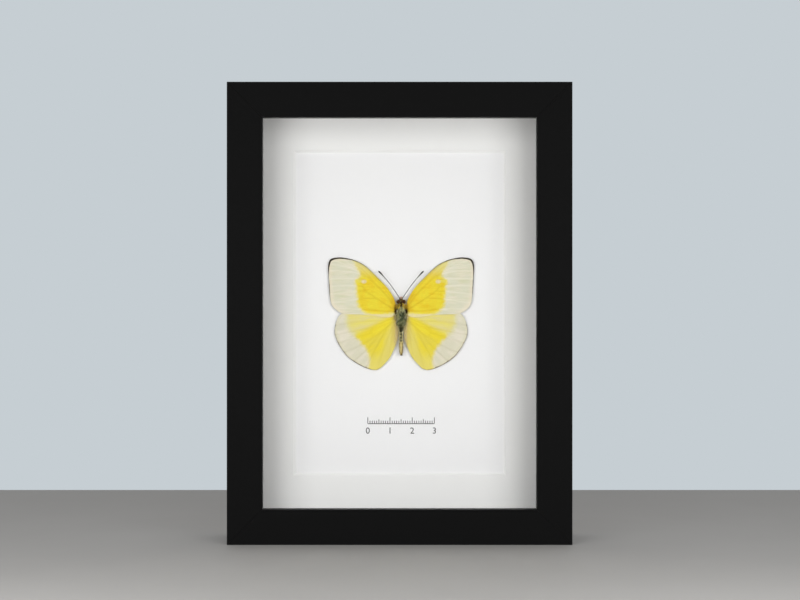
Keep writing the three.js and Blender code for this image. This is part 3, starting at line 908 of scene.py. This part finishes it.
def abdomen_down():
    olive = ["f2e8b2", "fff8ce", "c8be80", "fffadc"]
    straw = ["f2e2a4", "e0cc8a", "faeec4", "a08a52"]
    dark = ["1c1a0c", "2e2a16", "403a20"]
    ridge = ["5c5a36", "3e3e24", "8e8a58", "b4ae7c", "c8c292"]
    beads = [
        body_tuft(100, (up - 0.3, up + 0.2), (0.0, 0.5), 0.6, (0.25, 0.4), 0.036, dark, (0, -0.3, 0))
        for up in (np.arange(-9, -4) + 0.25) * SEGMENT
    ]
    tail_beads = [
        body_tuft(14, (up - 0.2, up + 0.2), (0.55, 1.1), 0.5, (0.2, 0.35), 0.034, dark)
        for up in TAIL_BEADS
    ]
    return beads + tail_beads + [
        body_tuft(900, (-13.2, -5.6), (0.45, 1.7), 0.25, (0.4, 0.8), 0.028, olive),
        body_tuft(80, (-12.4, -6.4), (0.0, 0.42), 0.2, (0.4, 0.7), 0.03, ridge),
        body_tuft(520, (-18.6, -12.4), (0.0, 1.7), 0.2, (0.3, 0.6), 0.024, straw),
        body_tuft(70, (-19.0, -18.4), (0.0, 3.1), 0.3, (0.4, 0.8), 0.022, ["8a7746", "57492c"]),
    ]


def shoulder_down(side):
    dark = ["3e2a12", "523a18", "22160a", "604820"]
    olive = ["e4bc3a", "cca030", "f2d450", "94782a"]
    flank = ["f4e8b8", "e6d494", "f8f0d0", "ccb47c"]
    dusk = ["866828", "a8862e", "604a1c", "c2a034"]
    patches = [
        (420, (2.3, 0.75, 0.8), (0.28, 0.45, 0.2), (0.3, -0.6, 0.4), (0.35, 0.65), 0.034, dark),
        (110, (2.55, 1.7, 0.4), (0.25, 0.4, 0.1), (0.6, 0.5, 0.2), (0.35, 0.7), 0.028, dusk),
        (260, (1.8, 3.0, 0.1), (0.4, 0.55, 0.15), (1.0, 0.1, 0.1), (0.5, 1.1), 0.026, olive),
        (200, (2.3, -1.6, 0.0), (0.3, 0.7, 0.2), (0.9, -0.5, 0.2), (0.6, 1.2), 0.026, flank),
    ]
    return [patch_tuft(side, *patch) for patch in patches]


def fold_down(side):
    """The long hairs of the hind wing beside the abdomen."""
    count = 170
    up = rng.uniform(-14.5, -3.2, count)
    start = np.interp(up, [-15.0, -11.0, -6.0, -3.0], [2.4, 1.2, 1.3, 1.9])
    out = start + rng.uniform(0, 1.4, count)
    roots = np.column_stack([out, up, np.full(count, -0.75)])
    ways = np.array((-0.06, -1.0, 0.1)) + (0.1, 0.1, 0.06) * rng.normal(size=(count, 3))
    flip = (side, 1, 1)
    colours = tints(count, ["faeabc", "f0dca4", "fff6d8", "dcc48c"])
    reach = rng.uniform(1.2, 2.6, count)
    return strands(roots * flip, ways * flip, reach, 0.022, colours, (0, 0, -0.04))


def make_down():
    paint = down_paint()
    tufts = thorax_down() + head_down() + abdomen_down()
    for side in SIDES.values():
        tufts += shoulder_down(side)
    down_piece("body_down", tufts, paint)
    for hand, side in SIDES.items():
        down_piece(f"hindwing_{hand}_down", [fold_down(side)], paint)


# ---- scale bar

BAR_LENGTH = 30
BAR_UP = 50.4
BAR_INK = 0.02
STROKE = 0.3
DIGIT_HEIGHT = 2.8
DIGIT_DROP = 4.3
# A numeral's height as a share of its font's size.
DIGIT_SHARE = 0.7
# Ticks: millimetres from one to the next, and height.
TICKS = {10: 3.0, 5: 2.2, 1: 1.5}
NUMBERED = 10


def slab(x0, x1, z0, z1):
    """A printed stroke: a box of ink between two x and two z, in millimetres."""
    back, front = CARD_FRONT, CARD_FRONT - BAR_INK * MM
    return [(x * MM, y, z * MM) for y in (front, back) for x, z in ((x0, z0), (x1, z0), (x1, z1), (x0, z1))]


def digit_mesh(digit, x, z):
    """A numeral's outline, thickened like the strokes and standing on the card."""
    text = bpy.data.curves.new("numeral", "FONT")
    text.body = str(digit)
    text.size = DIGIT_HEIGHT * MM / DIGIT_SHARE
    text.align_x = "CENTER"
    text.extrude = BAR_INK * MM / 2
    text.resolution_u = 4
    holder = bpy.data.objects.new("numeral", text)
    mesh = bpy.data.meshes.new_from_object(holder)
    middle = CARD_FRONT - BAR_INK * MM / 2
    points = [(x * MM + p.co.x, middle - p.co.z, z * MM + p.co.y) for p in mesh.vertices]
    faces = [tuple(face.vertices) for face in mesh.polygons]
    bpy.data.objects.remove(holder)
    bpy.data.curves.remove(text)
    bpy.data.meshes.remove(mesh)
    return points, faces


def make_scale_bar():
    middle = AXIS_X / MM
    start = middle - BAR_LENGTH / 2
    parts = [(slab(start, start + BAR_LENGTH, BAR_UP, BAR_UP + STROKE), BOX_FACES)]
    for tick in range(BAR_LENGTH + 1):
        height = next(TICKS[size] for size in TICKS if tick % size == 0)
        x = start + tick
        parts.append((slab(x - STROKE / 2, x + STROKE / 2, BAR_UP + STROKE, BAR_UP + height), BOX_FACES))
        if tick % NUMBERED == 0:
            parts.append(digit_mesh(tick // NUMBERED, x, BAR_UP - DIGIT_DROP))
    points, faces = [], []
    for part_points, part_faces in parts:
        faces += [tuple(len(points) + corner for corner in face) for face in part_faces]
        points += part_points
    paint = Paint("printers_ink", roughness=0.55, specular=0.3)
    paint.set(Base_Color=paint.mix(paint.noise(paint.place(), 2.5, 3), "161616", "242424"))
    piece = mesh_piece("scale_bar", points, faces, [paint], smooth=False)


# ---- frame, boards, glass and metal

# Where the rails' foil gives way to bare board, in millimetres, and half the width of each change.
REBATE_SIDE = MAT_HIGH[0] / MM + 0.45
REBATE_END = (MAT_HIGH[2] - MIDDLE_Z) / MM + 0.95
REBATE_FRONT = LOW[1] / MM + 4.54
RAIL_BACK = HIGH[1] / MM - 0.06
WALL_FADE, DEPTH_FADE = 0.01, 0.02

# The share of light that the glass mirrors head on, what a slant adds, and how much that varies.
MIRROR_SHARE, SLANT_SHARE, MIRROR_WAVE = 0.03, 0.9, 0.004


def rail_paint():
    """Black foil outside; bare fibreboard on the back and in the rebate."""
    paint = Paint("black_foil", roughness=0.48)
    where = paint.place()
    x, y, z = paint.apart(where)
    grain = paint.noise(where, 0.9, 5)
    foil = paint.mix(grain, "0e0e0e", "121212")
    board = paint.mix(paint.noise(where, 2.2, 5, roughness=0.7), "9a7c55", "bb9d72")

    def past(value, limit, fade):
        return paint.step(value, limit - fade, limit + fade)

    up = paint.math("ABSOLUTE", paint.minus(z, MIDDLE_Z / MM))
    out = paint.math("ABSOLUTE", x)
    inner = paint.times(past(out, REBATE_SIDE, -WALL_FADE), past(up, REBATE_END, -WALL_FADE))
    inner = paint.times(inner, past(y, REBATE_FRONT, DEPTH_FADE))
    bare = paint.math("MAXIMUM", inner, past(y, RAIL_BACK, DEPTH_FADE))
    paint.set(Base_Color=paint.mix(bare, foil, board))
    paint.bump(paint.plus(paint.noise(where, 3.5, 3), paint.times(bare, grain)), 0.00003, 0.5)
    return paint


def board_paint(name, low, high, tooth, roughness=0.8):
    """A white board or card with a fine tooth."""
    paint = Paint(name, roughness)
    where = paint.place()
    paint.set(Base_Color=paint.mix(paint.noise(where, 0.35, 4), low, high))
    paint.bump(paint.noise(where, 4.0, 4, roughness=0.7), tooth, 0.6)
    return paint


def hardboard_paint():
    paint = Paint("brown_hardboard", roughness=0.62, specular=0.3)
    where = paint.place()
    fibre = paint.noise(where, 0.8, 6, roughness=0.75)
    fleck = paint.step(paint.noise(where, 3.0, 4, stretch=(0.35, 1, 1)), 0.58, 0.72)
    colour = paint.mix(paint.step(fibre, 0.3, 0.7), "5b3d24", "7d5a38")
    paint.set(Base_Color=paint.mix(paint.times(fleck, 0.5), colour, "a07b52"))
    paint.bump(paint.noise(where, 2.6, 4), 0.00006, 0.6)
    return paint


def steel_paint():
    paint = Paint("zinc_plate", roughness=0.36, specular=0.5)
    where = paint.place()
    spangle = paint.noise(where, 0.9, 4)
    paint.set(Metallic=1.0, Base_Color=paint.mix(spangle, "a9adb0", "cdd0d2"),
              Roughness=paint.plus(paint.times(spangle, 0.25), 0.25))
    paint.bump(paint.noise(where, 3.0, 3, stretch=(0.25, 1, 1)), 0.00002, 0.5)
    return paint


def glass_paint():
    """Clear glass: light goes straight through, apart from a share that mirrors more at a slant."""
    paint = Paint("float_glass", shader="MixShader")
    clear, mirror = paint.node("BsdfTransparent"), paint.node("BsdfGlossy")
    paint.fill(clear, {"Color": "fefefe"})
    paint.fill(mirror, {"Roughness": 0.02})
    weight = paint.node("LayerWeight")
    paint.fill(weight, {"Blend": 0.5})
    slant = paint.math("POWER", weight.outputs["Facing"], 5.0)
    share = paint.plus(paint.times(slant, SLANT_SHARE), MIRROR_SHARE)
    wave = paint.times(paint.noise(paint.place(), 0.02, 1), MIRROR_WAVE)
    paint.fill(paint.shader, {0: paint.plus(share, wave), 1: clear.outputs[0], 2: mirror.outputs[0]})
    return paint


def paint_frame():
    paint_nodes(rail_paint(), "rail")
    paint_nodes(board_paint("spacer_board", "3c3c3b", "454544", 0.00004), "spacer")
    paint_nodes(board_paint("mat_board", "f1f1ef", "f6f6f4", 0.00004), "window_mat")
    paint_nodes(board_paint("smooth_card", "f3f3f3", "f6f6f6", 0.00001, 0.7), "backing_card")
    paint_nodes(hardboard_paint(), "back_panel")
    paint_nodes(steel_paint(), "corner_nail", "back_tab", "hanger")
    paint_nodes(glass_paint(), "glass_pane")


# ---- room

# Where the camera stands, its lens, its film's width and its nearest sight, in millimetres.
CAMERA = (0.17, -717.5, 106.3)
LENS = 72.66
FILM = 36.0
NEAREST = 10.0
# The floor's half width, its front and back, and its thickness.
FLOOR = {"half": 1400.0, "front": -1600.0, "back": 186.0, "thick": 20.0}
# Each lamp's place, width, height and watts.
LAMPS = {
    "left_lamp": ((-175.0, -320.0, 105.0), 200.0, 60.0, 0.54),
    "right_lamp": ((175.0, -320.0, 105.0), 200.0, 60.0, 0.54),
    "over_lamp": ((0.0, -1300.0, 380.0), 1150.0, 500.0, 5.4),
}
BACKDROP = "c6ced3"
# How bright the room is straight in front of the frame and straight behind it.
ROOM_FRONT, ROOM_BACK = 0.04, 0.75


def make_camera():
    camera = bpy.data.cameras.new("camera")
    camera.lens = LENS
    camera.sensor_width = FILM
    camera.clip_start = NEAREST * MM
    holder = add_object("camera", camera)
    holder.location = Vector(CAMERA) * MM
    holder.rotation_euler = (math.pi / 2, 0, 0)
    bpy.context.scene.camera = holder


def make_floor():
    half, front, back, thick = [FLOOR[size] * MM for size in ("half", "front", "back", "thick")]
    mesh = bpy.data.meshes.new("floor")
    corners = [(-half, front), (half, front), (half, back), (-half, back)]
    mesh.from_pydata([(x, y, z) for z in (0.0, -thick) for x, y in corners], [], BOX_FACES)
    paint = Paint("floor", specular=0.25)
    paint.set(Base_Color=paint.mix(paint.noise(paint.place(), 0.02, 4), "aeaca9", "b4b2af"))
    mesh.materials.append(paint.material)
    floor = add_object("floor", mesh)
    floor.visible_glossy = False


def make_lamp(name, place, wide, high, watts):
    """A soft light aimed at the frame, kept out of mirror reflections so the glass stays clear."""
    light = bpy.data.lights.new(name, "AREA")
    light.shape = "RECTANGLE"
    light.size = wide * MM
    light.size_y = high * MM
    light.energy = watts
    holder = add_object(name, light)
    holder.location = Vector(place) * MM
    away = holder.location - Vector((0, 0, MIDDLE_Z))
    holder.rotation_euler = away.to_track_quat("Z", "Y").to_euler()
    holder.visible_camera = False
    holder.visible_glossy = False


def make_world():
    """A pale backdrop for the camera; for other rays a room that is brighter behind the frame."""
    world = bpy.data.worlds.new("room")
    world.use_nodes = True
    bpy.context.scene.world = world
    tree = world.node_tree
    tree.nodes.clear()
    nodes = {name: tree.nodes.new("ShaderNode" + kind) for name, kind in (
        ("coords", "TexCoord"), ("split", "SeparateXYZ"), ("ramp", "MapRange"), ("room", "Background"),
        ("drop", "Background"), ("path", "LightPath"), ("mix", "MixShader"), ("output", "OutputWorld"))}
    nodes["ramp"].inputs["From Min"].default_value = -1.0
    nodes["ramp"].inputs["To Min"].default_value = ROOM_FRONT
    nodes["ramp"].inputs["To Max"].default_value = ROOM_BACK
    nodes["room"].inputs["Color"].default_value = srgb("fbfdff")
    nodes["drop"].inputs["Color"].default_value = srgb(BACKDROP)
    for start, output, end, socket in (
            ("coords", "Generated", "split", 0), ("split", "Y", "ramp", "Value"),
            ("ramp", "Result", "room", "Strength"), ("path", "Is Camera Ray", "mix", 0),
            ("room", 0, "mix", 1), ("drop", 0, "mix", 2), ("mix", 0, "output", 0)):
        tree.links.new(nodes[start].outputs[output], nodes[end].inputs[socket])


make_camera()
make_floor()
for lamp, settings in LAMPS.items():
    make_lamp(lamp, *settings)
make_world()
bpy.context.scene.view_settings.view_transform = "Standard"
paint_frame()
make_wings()
make_body()
make_antennae()
make_down()
make_scale_bar()
